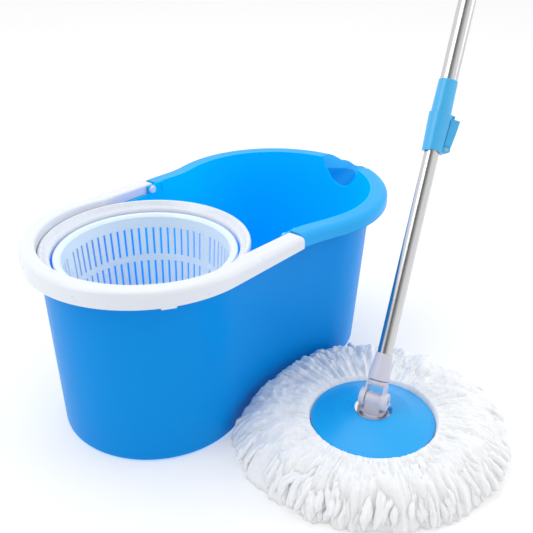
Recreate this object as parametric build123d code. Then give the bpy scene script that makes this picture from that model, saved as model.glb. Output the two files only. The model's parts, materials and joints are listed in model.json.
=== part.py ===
"""Two-lobe spin-mop bucket with its wringing basket, and the mop that stands beside it.

Frame: origin on the floor under the basket's spin axis, +X along the bucket towards the wash well,
+Z up. Millimetres.
"""
from build123d import *

import os
from math import sqrt

# ---- loose gaps and running fits ------------------------------------------------------------------
RUB = 0.5                   # loose gap between mouldings that move
SEAT = 0.3                  # gap between mouldings that rest on each other
RUN = 0.05                  # radial clearance of a running fit
TELESCOPE_GAP = 0.7         # radial gap between the two tubes, taken up by bushes

# ---- bucket ------------------------------------------------------------------------------------
LOBE_SPACING = 258.0        # basket axis to the middle of the wash well
RIM_TOP = 256.0             # top of the rolled rim of the wash well
WRING_TOP_R = 136.0         # outer radius of the wringing well at its ledge
WASH_TOP_R = 147.0          # outer radius of the wash well at the rim
WALL = 2.5                  # moulded wall of the bucket
FLOOR_T = 3.0               # floor of the bucket
BASE_EDGE = 7.0             # rounding of the bottom edge
WRING_BASE_R = WRING_TOP_R - 8.0
WASH_BASE_R = WASH_TOP_R - 18.5
WAIST_R = 600.0             # hollow arc that joins the two wells
LEDGE_TOP = RIM_TOP - 7.0   # top of the flange round the wringing well
LEDGE_T = 3.0
RIM_R = WASH_TOP_R + 23.0   # outside of the rolled rim round the wash well
RIM_WRING_R = WRING_TOP_R + 21.0  # the same outline's circle at the wringing well
RIM_SKIRT = 18.5            # depth of the rolled rim round the wash well
RIM_RISE = 6.0              # the rim rises by this to meet the handle's arms
RISE_END = 225.0            # where along the bucket the rise has ended
RIM_T = 2.5
RIM_ROUND = 9.0             # rounding of the rim's outer edge
WEB_TO_JOINT = 1.5          # the rim's skirt ends this far under the handle's foot

# ---- handle and its pivots ----------------------------------------------------------------------
HANDLE_IN = WRING_TOP_R + RUB
HANDLE_OUT = HANDLE_IN + 21.5   # outside radius of the handle's bow
HANDLE_T = 3.0
HANDLE_FOOT = LEDGE_TOP - 2.5   # lower edge of the handle's skirt
HANDLE_TOP_BOW = RIM_TOP + 14.0  # top of the bow, furthest from the pivots
ARM_IN = 131.5              # inner face of the handle's arms, past the collar
CROWN_ROUND_OUT = 7.0
CROWN_ROUND_IN = 3.0
TAB_BEARING = -122.5       # lift tab on the skirt, seen from the basket's axis
TAB_WIDTH = 18.0
TAB_DROP = 2.2
PIVOT_X = 127.0
PIVOT_Z = RIM_TOP - 1.5
EAR_R = 8.0                 # rounded end of each arm, about the pivot
EAR_LEN = 15.0              # solid end of each arm
PIN_R = 3.0
PIN_HEAD_R = 5.8
PIN_HEAD_T = 3.0
PIN_REACH = 13.0            # how far the pin goes into the arm
LUG_BACK = 7.0              # from the pivot to the lug's end under the handle
LUG_AHEAD = 21.0            # and to its end towards the wash well
LUG_FACE = ARM_IN - 5.8     # inner face of each lug
LUG_POCKET = 1.5            # depth of the pocket the pin's head lies in
LUG_FOOT = LEDGE_TOP - 6 * LEDGE_T
LUG_TOP = RIM_TOP + 4.5
RIM_START = PIVOT_X + EAR_R + RUB

# ---- pouring spout ------------------------------------------------------------------------------
SPOUT_ANGLE = -10.0         # seen from the middle of the wash well
SPOUT_WIDTH = 88.0
SPOUT_LIP_DROP = 14.0       # lip below the rim
SPOUT_DEPTH = 51.0          # bottom of the crease below the rim
SPOUT_LIP_R = RIM_R + 5.0
SPOUT_CREASE_R = WASH_TOP_R + 2.0
SPOUT_ROUND = 30.0

# ---- wringing basket, collar and spindle ----------------------------------------------------------
COLLAR_TOP = RIM_TOP + 1.0
COLLAR_HOLE_R = WRING_TOP_R - 14.3
COLLAR_T = 2.4
COLLAR_SPIGOT = 10.0        # how far the collar reaches down into the well
BASKET_RIM_R = COLLAR_HOLE_R - 3.0
BASKET_RIM_TOP = RIM_TOP - 11.5
BASKET_TOP_R = BASKET_RIM_R - 8.2   # outside of the basket's wall under its rim
BASKET_BASE_R = BASKET_TOP_R - 6.5
BASKET_FLOOR = BASKET_RIM_TOP - 111.5   # underside of the basket
BASKET_T = 2.0
SLOT_COUNT = 66
SLOT_BLANKS = 3             # stiff ribs left without a slot
SLOT_W = 3.0
SLOT_TOP = BASKET_RIM_TOP - 19.0
SLOT_ROW_H = 41.5
SLOT_BAND = 9.0             # plain band between the two rows
FLOOR_SLOTS = 12
HUB_R = 26.0
HUB_H = 16.0
NUT_SEAT = 6.0              # depth of the nut's pocket in the hub
NUT_T = 4.0
AXLE_R = 4.0
SHOULDER_R = AXLE_R + 6.0   # shoulder of the axle under the basket
BEARING_R = AXLE_R + 7.0    # 8 x 22 x 7 ball bearing
BEARING_W = 7.0
RACE_T = 2.2                # thickness of one bearing ring
BALLS = 7
POST_TOP = BASKET_FLOOR - 15.0
POST_R = BEARING_R + 4.0
POST_BASE_R = POST_R + 7.0
BUSH_R = AXLE_R + 2.5
BUSH_L = 12.0
AXLE_FOOT = 40.0

# ---- mop head -----------------------------------------------------------------------------------
MOP_X = 110.5
MOP_Y = -290.0
LEAN_TURN = 13.0            # direction in which the pole leans, from +X
LEAN = 29.0                 # lean of the pole from upright
PLATE_R = 80.0
PLATE_Z = 47.0              # underside of the plate's rolled edge
PLATE_EDGE = 8.0            # height of the rolled edge
PLATE_RISE = 12.5           # dome above the rolled edge, at the cup
PLATE_T = 2.5
CUP_R = 23.0
CUP_DEPTH = 6.5
CUP_T = 1.2
STRAND_RING_IN = 44.0
STRAND_RING_T = 4.0
STRAND_RING_TOP = PLATE_Z + PLATE_EDGE - PLATE_T - 1.5
STRAND_R = 165.0
STRAND_TOP = PLATE_Z + 9.0
WALL_TO_STRANDS = 5.0
PIN_Z = 83.0                # hinge pin above the floor
TONGUE_W = 20.0
TONGUE_R = 9.0
FOOT_HALF = 18.0            # feet of the joint's base, either side of the tongue
SCREW_R = 1.5
SCREW_REACH = 7.0
BOSS_R = 11.5
BOSS_T = 8.0
HINGE_R = 3.5

# ---- pole ---------------------------------------------------------------------------------------
INNER_R = 9.5               # lower tube, 19 mm
TUBE_T = 0.8
OUTER_R = INNER_R + TUBE_T + TELESCOPE_GAP  # upper tube, 22 mm
NECK_R = INNER_R + 3.5
NECK_FOOT = 17.5            # inside of the fork's crotch above the pin
NECK_TOP = 24.5
NECK_DEPTH = 14.0           # thickness of the fork's arms
SLEEVE_FOOT = NECK_TOP + 1.0
SLEEVE_TOP = 60.0
SLEEVE_R = INNER_R + 4.5
SLEEVE_TOP_R = INNER_R + 0.9
RIVET_R = 2.0
TUBE_FOOT = 30.0
INNER_TOP = 590.0
OUTER_FOOT = 345.0
OUTER_TOP = 960.0
LOCK_FOOT = 320.0
LOCK_TOP = 371.0
LOCK_R = OUTER_R + 3.8
LOCK_FOOT_R = INNER_R + 3.5
ARCH_RISE = 3.0             # arch in the clamp's lower edge
FERRULE_TOP = 413.0
FERRULE_R = OUTER_R + 1.9
FERRULE_TOP_R = OUTER_R + 1.1
LEVER_TURN = -62.0          # side of the pole the lever is on, from the lean direction
LEVER_W = 15.0
LEVER_WEB = 3.6             # web of the lever between the clamp's ears
EAR_SLOT = LEVER_WEB + 2 * 0.4
LEVER_PIN_Z = 327.0
LEVER_PIN_X = LOCK_R + 1.2
LEVER_PIN_R = 2.0
LEVER_EYE_R = 4.5
LEVER_TIP_Z = 366.0
LEVER_TIP_X = LOCK_R + 9.7
GRIP_FOOT = 850.0
GRIP_R = OUTER_R + 3.0
GRIP_RINGS = 5
CAP_T = 12.0
CAP_LEN = 42.0
HANG_HOLE_R = 6.0
ROD_W = 9.0                 # twisted flat bar
ROD_T = 2.5
ROD_PITCH = 70.0
ROD_FOOT = 350.0
SPIGOT_R = ROD_W / 2 + 2.6  # drive nut's spigot, which the guide bush turns on
BUSH_LEN = 14.0

FAR = 2 * RIM_R             # beyond the bucket on any side


def halves(shape):
    """The shape and its mirror image across the bucket's long axis."""
    return [shape, mirror(shape, about=Plane.XZ)]


def turned(points):
    """Solid of revolution about Z from (radius, height) points."""
    profile = make_face(Polyline(*[(r, 0, z) for r, z in points], close=True))
    return revolve(profile, axis=Axis.Z)


def rod(radius, foot, top):
    """Cylinder about Z from foot to top."""
    return Pos(0, 0, foot) * Cylinder(radius, top - foot, align=(Align.CENTER, Align.CENTER, Align.MIN))


def ring(outer, inner, foot, top):
    """Tube about Z."""
    return rod(outer, foot, top) - rod(inner, foot - 1, top + 1)


def cone(foot_r, top_r, foot, top):
    """Frustum about Z."""
    part = Cone(foot_r, top_r, top - foot, align=(Align.CENTER, Align.CENTER, Align.MIN))
    return Pos(0, 0, foot) * part


def block(x0, x1, y0, y1, z0, z1):
    """Box between two corners."""
    return Pos((x0 + x1) / 2, (y0 + y1) / 2, (z0 + z1) / 2) * Box(x1 - x0, y1 - y0, z1 - z0)


def two_lobe(wring_r, wash_r, z=0.0):
    """Outline of the bucket: two circles joined by hollow arcs."""
    d1 = wring_r + WAIST_R
    d2 = wash_r + WAIST_R
    xw = (d1**2 - d2**2 + LOBE_SPACING**2) / (2 * LOBE_SPACING)
    yw = sqrt(d1**2 - xw**2)
    ax, ay = xw * wring_r / d1, yw * wring_r / d1
    bx, by = LOBE_SPACING + (xw - LOBE_SPACING) * wash_r / d2, yw * wash_r / d2
    mx, my = (ax + bx) / 2 - xw, (ay + by) / 2 - yw
    scale = WAIST_R / sqrt(mx**2 + my**2)
    mx, my = xw + mx * scale, yw + my * scale
    arcs = [
        ThreePointArc((ax, -ay), (-wring_r, 0), (ax, ay)),
        ThreePointArc((ax, ay), (mx, my), (bx, by)),
        ThreePointArc((bx, by), (LOBE_SPACING + wash_r, 0), (bx, -by)),
        ThreePointArc((bx, -by), (mx, -my), (ax, -ay)),
    ]
    return Pos(0, 0, z) * Face(Wire(arcs))


def wall_radii(z):
    """Outer radii of the two wells at height z."""
    share = z / RIM_TOP
    wring = WRING_BASE_R + (WRING_TOP_R - WRING_BASE_R) * share
    return wring, WASH_BASE_R + (WASH_TOP_R - WASH_BASE_R) * share


def well(inset, foot, top):
    """Tapered two-lobe solid, inset from the outside of the bucket."""
    ends = []
    for z in (foot, top):
        wring, wash = wall_radii(z)
        ends.append(two_lobe(wring - inset, wash - inset, z))
    return Solid.make_loft([face.outer_wire() for face in ends], True)


def bow(radius, end):
    """Half round at the wringing end with straight sides to x = end."""
    lines = [
        ThreePointArc((0, radius), (-radius, 0), (0, -radius)),
        Line((0, -radius), (end, -radius)),
        Line((end, -radius), (end, radius)),
        Line((end, radius), (0, radius)),
    ]
    return Face(Wire(lines))


def upright(face, foot, top):
    """Face at z = 0 made a solid from foot to top."""
    return extrude(Pos(0, 0, foot) * face, amount=top - foot, dir=(0, 0, 1))


def spout_section(radius, drop, grow):
    """Rounded V across the spout, at one distance from the middle of the wash well."""
    half = SPOUT_WIDTH / 2 + grow
    deep = RIM_TOP - drop - grow * sqrt(2)
    over = RIM_TOP + 2 * RIM_ROUND
    outline = [(-half, over), (-half, RIM_TOP), (0, deep), (half, RIM_TOP), (half, over)]
    vee = make_face(Polyline(*outline, close=True))
    vee = fillet(vee.vertices().sort_by(Axis.Y)[0], SPOUT_ROUND)
    return Plane(origin=(radius, 0, 0), x_dir=(0, 1, 0), z_dir=(1, 0, 0)) * vee


def spout_groove(grow):
    """Channel that climbs from its crease in the wall out to the lip, grown outwards by grow."""
    slope = (SPOUT_DEPTH - SPOUT_LIP_DROP) / (SPOUT_LIP_R - SPOUT_CREASE_R)
    ends = []
    for radius in (SPOUT_CREASE_R - 4 * WALL, SPOUT_LIP_R + WALL):
        drop = SPOUT_LIP_DROP + slope * (SPOUT_LIP_R - radius)
        ends.append(spout_section(radius, drop, grow).face().outer_wire())
    return Pos(LOBE_SPACING, 0, 0) * Rot(0, 0, SPOUT_ANGLE) * Solid.make_loft(ends, True)


def cut_across(lines):
    """Side view made of lines, as a solid that reaches across the whole bucket."""
    return extrude(Plane.XZ * Face(Wire(lines)), amount=FAR, both=True)


def below_rim(inset):
    """Everything under the rim's top, which rises in a soft curve towards the handle's arms."""
    high, low = RIM_TOP + RIM_RISE - inset, RIM_TOP - inset
    end = LOBE_SPACING + FAR
    return cut_across([
        Line((-FAR, high), (RIM_START, high)),
        Spline((RIM_START, high), (RISE_END, low), tangents=((1, -0.02), (1, 0))),
        Line((RISE_END, low), (end, low)),
        Line((end, low), (end, -1)),
        Line((end, -1), (-FAR, -1)),
        Line((-FAR, -1), (-FAR, high)),
    ])


def above_skirt():
    """Everything over the rim's lower edge, which rises to meet the handle's arms."""
    low, high = RIM_TOP - RIM_SKIRT, HANDLE_FOOT - WEB_TO_JOINT
    end, over = LOBE_SPACING + FAR, 2 * RIM_TOP
    outline = [(-FAR, high), (RIM_START, high), (RISE_END, low), (end, low), (end, over), (-FAR, over)]
    return cut_across(Polyline(*outline, close=True).edges())


def rolled_rim(inset):
    """Solid of the rolled rim, inset from its outside; the inset one runs out at the bottom."""
    foot = RIM_TOP - RIM_SKIRT - 2 * inset
    outline = two_lobe(RIM_WRING_R - inset, RIM_R - inset)
    body = upright(outline, foot, 2 * RIM_TOP) & below_rim(inset)
    top_edges = body.edges().filter_by(lambda e: e.center().Z > RIM_TOP - inset - 0.1)
    body = fillet(top_edges, RIM_ROUND - inset)
    return body if inset else body & above_skirt()


def lug(grow):
    """Thick part of the wall that holds one pivot pin, grown sideways by grow."""
    x0, x1 = PIVOT_X - LUG_BACK - grow, PIVOT_X + LUG_AHEAD + grow
    return block(x0, x1, LUG_FACE, ARM_IN - RUB + grow, LUG_FOOT, LUG_TOP)


def lug_pocket():
    """Open-topped pocket in the lug's inner face, round the pin's head."""
    x0, x1 = PIVOT_X - LUG_BACK - 1, PIVOT_X + LUG_AHEAD - WALL
    return block(x0, x1, LUG_FACE - 1, LUG_FACE + LUG_POCKET, PIVOT_Z - PIN_HEAD_R - RUB, LUG_TOP + RIM_RISE)


def bucket():
    """The pail: both wells, ledge, rolled rim, spout, handle lugs and the spindle post."""
    shell = well(0, 0, RIM_TOP + RIM_RISE) & below_rim(0)
    shell = fillet(shell.edges().group_by(Axis.Z)[0], BASE_EDGE)
    past_pivot = block(RIM_START, FAR + LOBE_SPACING, -FAR, FAR, -1, 2 * RIM_TOP)
    shell -= block(-FAR, RIM_START, -FAR, FAR, LEDGE_TOP, 2 * RIM_TOP)
    shell += upright(bow(HANDLE_OUT - HANDLE_T - 2 * RUB, PIVOT_X - EAR_LEN), LEDGE_TOP - LEDGE_T, LEDGE_TOP)

    rim = rolled_rim(0)
    end_web = block(RIM_START, RIM_START + RIM_T, -FAR, FAR, 0, 2 * RIM_TOP)
    hollow = rolled_rim(RIM_T) - well(0, 0, RIM_TOP + RIM_RISE) - end_web
    shell += (rim - hollow) & past_pivot

    cavity = well(WALL, FLOOR_T, RIM_TOP + 2 * RIM_RISE)
    for side, kept in zip(halves(lug(0)), halves(lug(RUB))):
        shell += side
        cavity -= kept
    shell -= cavity

    lip_limit = rim + Pos(LOBE_SPACING, 0, 0) * rod(SPOUT_LIP_R, 0, RIM_TOP - 0.6 * SPOUT_LIP_DROP)
    groove = spout_groove(0)
    channel = (spout_groove(WALL) & lip_limit) - cavity - groove
    shell = shell - groove + channel
    shell += spindle_post()

    shell -= rod(BEARING_R, POST_TOP - BEARING_W, POST_TOP + 1)
    shell -= rod(BUSH_R, AXLE_FOOT, POST_TOP)
    for cut in halves(pin_line(PIN_R)) + halves(lug_pocket()):
        shell -= cut
    return shell


def spindle_post():
    """Hollow post under the basket, with four ribs at its foot."""
    low = FLOOR_T - SEAT
    post = cone(POST_BASE_R, POST_R, low, POST_TOP)
    rib = block(0, POST_BASE_R + 14, -WALL / 2, WALL / 2, low, POST_TOP / 2)
    for k in range(4):
        post += Rot(0, 0, 45 + 90 * k) * rib
    return post


def pin_line(radius):
    """Cylinder along one pivot pin, through lug and arm."""
    length = ARM_IN + PIN_REACH - LUG_FACE
    middle = (ARM_IN + PIN_REACH + LUG_FACE) / 2
    return Pos(PIVOT_X, middle, PIVOT_Z) * Rot(90, 0, 0) * Cylinder(radius, length + 2 * RUB)


def inside_handle(grow):
    """Plan of the space inside the handle: round about the collar, then straight between the arms."""
    end = PIVOT_X + EAR_R + 1
    between = Pos(end / 2, 0) * Rectangle(end, 2 * (ARM_IN + grow))
    return Circle(HANDLE_IN + grow) + between


def off_axis(edge):
    """Distance of an edge's middle from the handle's own centre line."""
    middle = edge @ 0.5
    return abs(middle.Y) if middle.X > 0 else sqrt(middle.X**2 + middle.Y**2)


def carry_handle():
    """Bail with an inverted-U section; its solid ends turn on the two pivot pins."""
    plan = bow(HANDLE_OUT, PIVOT_X + EAR_R) - inside_handle(0)
    body = upright(plan, HANDLE_FOOT, 2 * HANDLE_TOP_BOW) & side_shape(0)
    crown = [e for e in body.edges() if e.center().Z > PIVOT_Z + EAR_R - 1 and e.length > 2 * EAR_LEN]
    body = fillet([e for e in crown if off_axis(e) > HANDLE_OUT - 1], CROWN_ROUND_OUT)
    crown = [e for e in body.edges() if (e @ 0.5).Z > PIVOT_Z + EAR_R - 1 and e.length > 2 * EAR_LEN]
    body = fillet([e for e in crown if off_axis(e) < HANDLE_IN + 1], CROWN_ROUND_IN)
    channel = bow(HANDLE_OUT - HANDLE_T, PIVOT_X - EAR_LEN) - inside_handle(HANDLE_T)
    body -= upright(channel, 0, 2 * HANDLE_TOP_BOW) & side_shape(HANDLE_T)
    # the inner skirt and the channel stand on the bucket's ledge
    body -= upright(bow(HANDLE_OUT - HANDLE_T, PIVOT_X - EAR_LEN), 0, LEDGE_TOP + SEAT)
    body += lift_tab()
    for bore in halves(pin_line(PIN_R + RUN)):
        body -= bore
    return body


def lift_tab():
    """Short tab for a finger on the lower edge of the handle's skirt."""
    skirt = ring(HANDLE_OUT, HANDLE_OUT - HANDLE_T, HANDLE_FOOT - TAB_DROP, HANDLE_FOOT + RUB)
    window = block(0, 2 * HANDLE_OUT, -TAB_WIDTH / 2, TAB_WIDTH / 2, 0, HANDLE_TOP_BOW)
    return skirt & (Rot(0, 0, TAB_BEARING) * window)


def side_shape(inset):
    """Solid with the handle's side view: level foot, sloped top, corner rounded about the pivot."""
    end, high = PIVOT_X + EAR_R, EAR_R - inset
    left, over = -HANDLE_OUT - 1, HANDLE_TOP_BOW - inset
    foot = HANDLE_FOOT - 1 if inset else HANDLE_FOOT
    half = sqrt(0.5)
    return cut_across([
        Line((left, foot), (end, foot)),
        Line((end, foot), (end, PIVOT_Z)),
        ThreePointArc((end, PIVOT_Z), (PIVOT_X + EAR_R * half, PIVOT_Z + high * half),
                      (PIVOT_X, PIVOT_Z + high)),
        Line((PIVOT_X, PIVOT_Z + high), (left, over)),
        Line((left, over), (left, foot)),
    ])


def handle_pivot_pins():
    """Two push-in pins: domed head on the lug's inner face, shank through lug and arm."""
    seat = LUG_FACE + LUG_POCKET
    shank = rod(PIN_R, 0, ARM_IN + PIN_REACH - seat)
    head = rod(PIN_HEAD_R, -PIN_HEAD_T, 0)
    head = fillet(head.edges().group_by(Axis.Z)[0], PIN_HEAD_T * 0.6)
    pin = Pos(PIVOT_X, seat, PIVOT_Z) * Rot(-90, 0, 0) * (head + shank)
    return halves(pin)


def basket_collar():
    """Splash collar that stands on the ledge and slopes down to the basket."""
    hole, out, t = COLLAR_HOLE_R, WRING_TOP_R - SEAT, COLLAR_T
    top, low = COLLAR_TOP, BASKET_RIM_TOP + 2
    foot = LEDGE_TOP - COLLAR_SPIGOT
    plug = wall_radii(foot)[0] - WALL - SEAT
    return turned([
        (out, LEDGE_TOP), (out, top - 3), (out - 1, top - 1), (out - 3, top), (out - 5, top - 0.4),
        (hole + 5, low + 5), (hole + 1, low + 1.5), (hole, low - 1), (hole, low - 8), (hole + t, low - 8),
        (hole + t, low - 1), (hole + 6.5, low + 2), (plug - t, LEDGE_TOP + 1), (plug - t, foot), (plug, foot),
        (plug, LEDGE_TOP),
    ])


def basket_wall_r(z):
    """Outer radius of the basket's wall at height z."""
    share = (z - BASKET_FLOOR) / (BASKET_RIM_TOP - BASKET_FLOOR)
    return BASKET_BASE_R + (BASKET_TOP_R - BASKET_BASE_R) * share


def spin_basket():
    """Wringing basket with two rows of slots and a slotted floor."""
    t, top, foot = BASKET_T, BASKET_RIM_TOP, BASKET_FLOOR
    shell = turned([
        (SHOULDER_R, foot), (BASKET_BASE_R - 5, foot), (BASKET_BASE_R - 1.5, foot + 1.5),
        (BASKET_BASE_R, foot + 5), (BASKET_TOP_R, top - 4.5), (BASKET_RIM_R - 1.5, top - 3.5),
        (BASKET_RIM_R - 1.5, top - 7), (BASKET_RIM_R, top - 7), (BASKET_RIM_R, top - 1.5),
        (BASKET_RIM_R - 1.5, top), (BASKET_TOP_R + 1, top), (BASKET_TOP_R - t, top - 3),
        (BASKET_BASE_R - t, foot + 6), (BASKET_BASE_R - t - 4, foot + t), (SHOULDER_R, foot + t),
    ])
    rows = []
    for slot_top in (SLOT_TOP, SLOT_TOP - SLOT_ROW_H - SLOT_BAND):
        middle = slot_top - SLOT_ROW_H / 2
        cutter = Pos(basket_wall_r(middle), 0, middle) * Box(5 * t, SLOT_W, SLOT_ROW_H)
        rows.append(cutter)
    every = SLOT_COUNT // SLOT_BLANKS
    cuts = []
    for k in range(SLOT_COUNT):
        if k % every:
            cuts += [Rot(0, 0, 360 * k / SLOT_COUNT) * row for row in rows]
    drain = block(HUB_R + 8, BASKET_BASE_R - 16, -SLOT_W / 2, SLOT_W / 2, foot - 1, foot + 2 * t)
    cuts += [Rot(0, 0, 360 * k / FLOOR_SLOTS) * drain for k in range(FLOOR_SLOTS)]
    return shell - cuts


def hub_seat():
    """Height of the basket floor's upper face, where the hub stands."""
    return BASKET_FLOOR + BASKET_T


def basket_hub():
    """Boss on the basket floor that the mop plate stands on, with the axle's bore and the nut's pocket."""
    z = hub_seat()
    hub = turned([(AXLE_R, z), (HUB_R, z), (HUB_R, z + 4), (HUB_R - 8, z + HUB_H), (AXLE_R, z + HUB_H)])
    pocket = rod(2.2 * AXLE_R, z + HUB_H - NUT_SEAT, z + HUB_H + 1)
    return hub - pocket


def basket_spindle():
    """Steel axle with a shoulder under the basket floor."""
    axle = rod(AXLE_R, AXLE_FOOT + 2, hub_seat() + HUB_H - 1)
    return axle + rod(SHOULDER_R, BASKET_FLOOR, hub_seat()) + rod(AXLE_R + 1.5, POST_TOP, BASKET_FLOOR)


def spindle_nut():
    """Hexagon nut that holds hub and basket on the axle's shoulder."""
    z = hub_seat() + HUB_H - NUT_SEAT
    nut = Pos(0, 0, z) * extrude(RegularPolygon(1.6 * AXLE_R, 6), amount=NUT_T)
    return nut - rod(AXLE_R, z - 1, z + NUT_T + 1)


def bearing_outer_ring():
    """Outer race with its ball groove."""
    return race(BEARING_R, BEARING_R - RACE_T)


def bearing_inner_ring():
    """Inner race, pressed on the axle."""
    return race(AXLE_R, AXLE_R + RACE_T)


def ball_circle():
    """Radius of the circle through the ball centres."""
    return (BEARING_R + AXLE_R) / 2


def ball_r():
    """Radius of one ball, which runs in both grooves."""
    return (BEARING_R - AXLE_R) / 2 - 1.5


def race(seat_r, face_r):
    """One bearing ring with a groove for the balls."""
    z0, z1 = POST_TOP - BEARING_W, POST_TOP
    body = ring(max(seat_r, face_r), min(seat_r, face_r), z0, z1)
    groove = Torus(ball_circle(), ball_r() + RUN)
    return body - Pos(0, 0, (z0 + z1) / 2) * groove


def bearing_balls():
    """Steel balls."""
    z = POST_TOP - BEARING_W / 2
    ball = Pos(ball_circle(), 0, z) * Sphere(ball_r())
    return [Rot(0, 0, 360 * k / BALLS) * ball for k in range(BALLS)]


def spindle_bush():
    """Plain bush at the foot of the axle."""
    return ring(BUSH_R, AXLE_R + RUN, AXLE_FOOT, AXLE_FOOT + BUSH_L)


# ---- mop head, built about the upright axis through the plate ---------------------------------------
def cup_rim_z():
    """Height of the plate's dome where the cup's rim sits."""
    return PLATE_Z + PLATE_EDGE + PLATE_RISE


def mop_plate():
    """Domed plate with a rolled edge and a socket for the cup."""
    z, t, top = PLATE_Z, PLATE_T, PLATE_Z + PLATE_EDGE
    crown = cup_rim_z()
    plate = turned([
        (PLATE_R, z), (PLATE_R, top - 3), (PLATE_R - 1, top - 1), (PLATE_R - 3, top),
        (PLATE_R - 6, top + 0.4), (PLATE_R * 0.62, top + PLATE_RISE * 0.62), (CUP_R + 1, crown),
        (CUP_R - 2, crown - 1),
        (CUP_R - 7, crown - CUP_DEPTH), (4, crown - CUP_DEPTH), (4, crown - CUP_DEPTH - t),
        (CUP_R - 8, crown - CUP_DEPTH - t), (CUP_R - 2, crown - 3.5),
        (PLATE_R * 0.62, top + PLATE_RISE * 0.62 - t), (PLATE_R - 6, top + 0.4 - t), (PLATE_R - t, top - 4),
        (PLATE_R - t, z),
    ])
    return plate - base_screws()


def strand_ring():
    """Clip-in ring the strands are sewn to."""
    top = STRAND_RING_TOP
    outer = PLATE_R - PLATE_T - RUB
    wall = ring(outer, outer - 2, top - STRAND_RING_T - 3, top)
    return wall + ring(outer, STRAND_RING_IN, top - STRAND_RING_T, top - STRAND_RING_T + 2)


def mop_strands():
    """Strand head as one soft solid: drapes from under the plate to the floor."""
    z = PLATE_Z - SEAT
    low = STRAND_RING_TOP - STRAND_RING_T - 3 - SEAT
    solid = turned([
        (STRAND_RING_IN, 0), (STRAND_RING_IN, low), (PLATE_R - PLATE_T, low), (PLATE_R - 1, z),
        (PLATE_R + SEAT, z), (PLATE_R + 3, STRAND_TOP - 3), (PLATE_R + 10, STRAND_TOP),
        (PLATE_R + 35, STRAND_TOP - 4), (STRAND_R - 20, STRAND_TOP * 0.62),
        (STRAND_R - 5, STRAND_TOP * 0.34), (STRAND_R, 7), (STRAND_R - 4, 0),
    ])
    keep_off = two_lobe(*[r + WALL_TO_STRANDS for r in wall_radii(STRAND_TOP)])
    return HEAD * solid - upright(keep_off, -1, 2 * STRAND_TOP)


def joint_cup():
    """Bright pressed dish in the middle of the plate."""
    crown = cup_rim_z() + 0.2
    base = crown - CUP_DEPTH
    t = CUP_T
    return turned([
        (0, base), (CUP_R - 7, base), (CUP_R - 2, crown - 0.8), (CUP_R + 1, crown), (CUP_R + 1, crown + t),
        (CUP_R - 2.5, crown + 0.6), (CUP_R - 8, base + t), (0, base + t),
    ]) - base_screws()


def tongue_foot():
    """Upper face of the cup, where the tongue stands."""
    return cup_rim_z() + 0.2 - CUP_DEPTH + CUP_T


def joint_base():
    """Tongue that stands in the cup and carries the hinge pin."""
    foot = tongue_foot()
    half = TONGUE_W / 2
    tongue = block(-TONGUE_R, TONGUE_R, -half, half, foot, PIN_Z)
    tongue += Pos(0, 0, PIN_Z) * Rot(90, 0, 0) * Cylinder(TONGUE_R, TONGUE_W)
    tongue += rod(CUP_R - 9, foot, foot + 2)
    feet = block(-TONGUE_R, TONGUE_R, -FOOT_HALF, FOOT_HALF, foot + 2.5, foot + 7)
    tongue += feet & rod(CUP_R - 6.5, foot, PIN_Z)
    tongue -= base_screws()
    return tongue - Pos(0, 0, PIN_Z) * Rot(90, 0, 0) * Cylinder(HINGE_R, 2 * TONGUE_W)


def base_screws():
    """Two screws up through plate and cup into the tongue, heads under the plate."""
    low = cup_rim_z() - CUP_DEPTH - PLATE_T
    screw = rod(SCREW_R, low - 1, tongue_foot() + SCREW_REACH) + rod(2 * SCREW_R, low - 2.5, low)
    return [Pos(0, y, 0) * screw for y in (-TONGUE_W / 2 + 5, TONGUE_W / 2 - 5)]


def hinge_pin():
    """Pin through tongue and fork, about the local Y axis."""
    length = TONGUE_W + 2 * BOSS_T + 2 * RUB - 2
    return Rot(90, 0, 0) * Cylinder(HINGE_R, length)


# ---- pole, built about its own axis with the hinge pin at the origin --------------------------------
def neck_fork():
    """Fork with two round bosses, a collar and a spigot that goes up into the tube."""
    near = TONGUE_W / 2 + RUB
    boss = Pos(0, near + BOSS_T / 2, 0) * Rot(90, 0, 0) * Cylinder(BOSS_R, BOSS_T)
    boss = fillet(boss.edges().group_by(Axis.Y)[-1], 2.5)
    arm = block(-NECK_DEPTH / 2, NECK_DEPTH / 2, near, NECK_R, 0, NECK_TOP - 3)
    fork = rod(NECK_R, NECK_TOP - 4, NECK_TOP)
    fork += block(-NECK_DEPTH / 2, NECK_DEPTH / 2, -NECK_R + 0.5, NECK_R - 0.5, NECK_FOOT, NECK_TOP - 3)
    for part in halves(boss) + halves(arm):
        fork += part
    fork += rod(INNER_R - TUBE_T - RUN, NECK_TOP - 1, SLEEVE_TOP - 4)
    fork -= Rot(90, 0, 0) * Cylinder(HINGE_R + RUN, 4 * NECK_R)
    return fork - neck_rivet()


def neck_rivet():
    """Rivet across sleeve, tube and fork."""
    z = (TUBE_FOOT + SLEEVE_TOP) / 2 - 2
    return Pos(0, 0, z) * Rot(0, 90, 0) * Cylinder(RIVET_R, 2 * SLEEVE_R - 6)


def neck_sleeve():
    """Tapered sleeve over the foot of the lower tube."""
    body = rod(SLEEVE_R, SLEEVE_FOOT, SLEEVE_FOOT + 5)
    body += cone(SLEEVE_R, SLEEVE_TOP_R, SLEEVE_FOOT + 5, SLEEVE_TOP)
    body = fillet(body.edges().group_by(Axis.Z)[0], 1.5)
    body -= rod(INNER_R, TUBE_FOOT, SLEEVE_TOP + 1)
    body -= rod(INNER_R - TUBE_T - RUN, SLEEVE_FOOT - 1, TUBE_FOOT + 1)
    return body - neck_rivet()


def inner_tube():
    """Lower steel tube."""
    return ring(INNER_R, INNER_R - TUBE_T, TUBE_FOOT, INNER_TOP) - neck_rivet()


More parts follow.
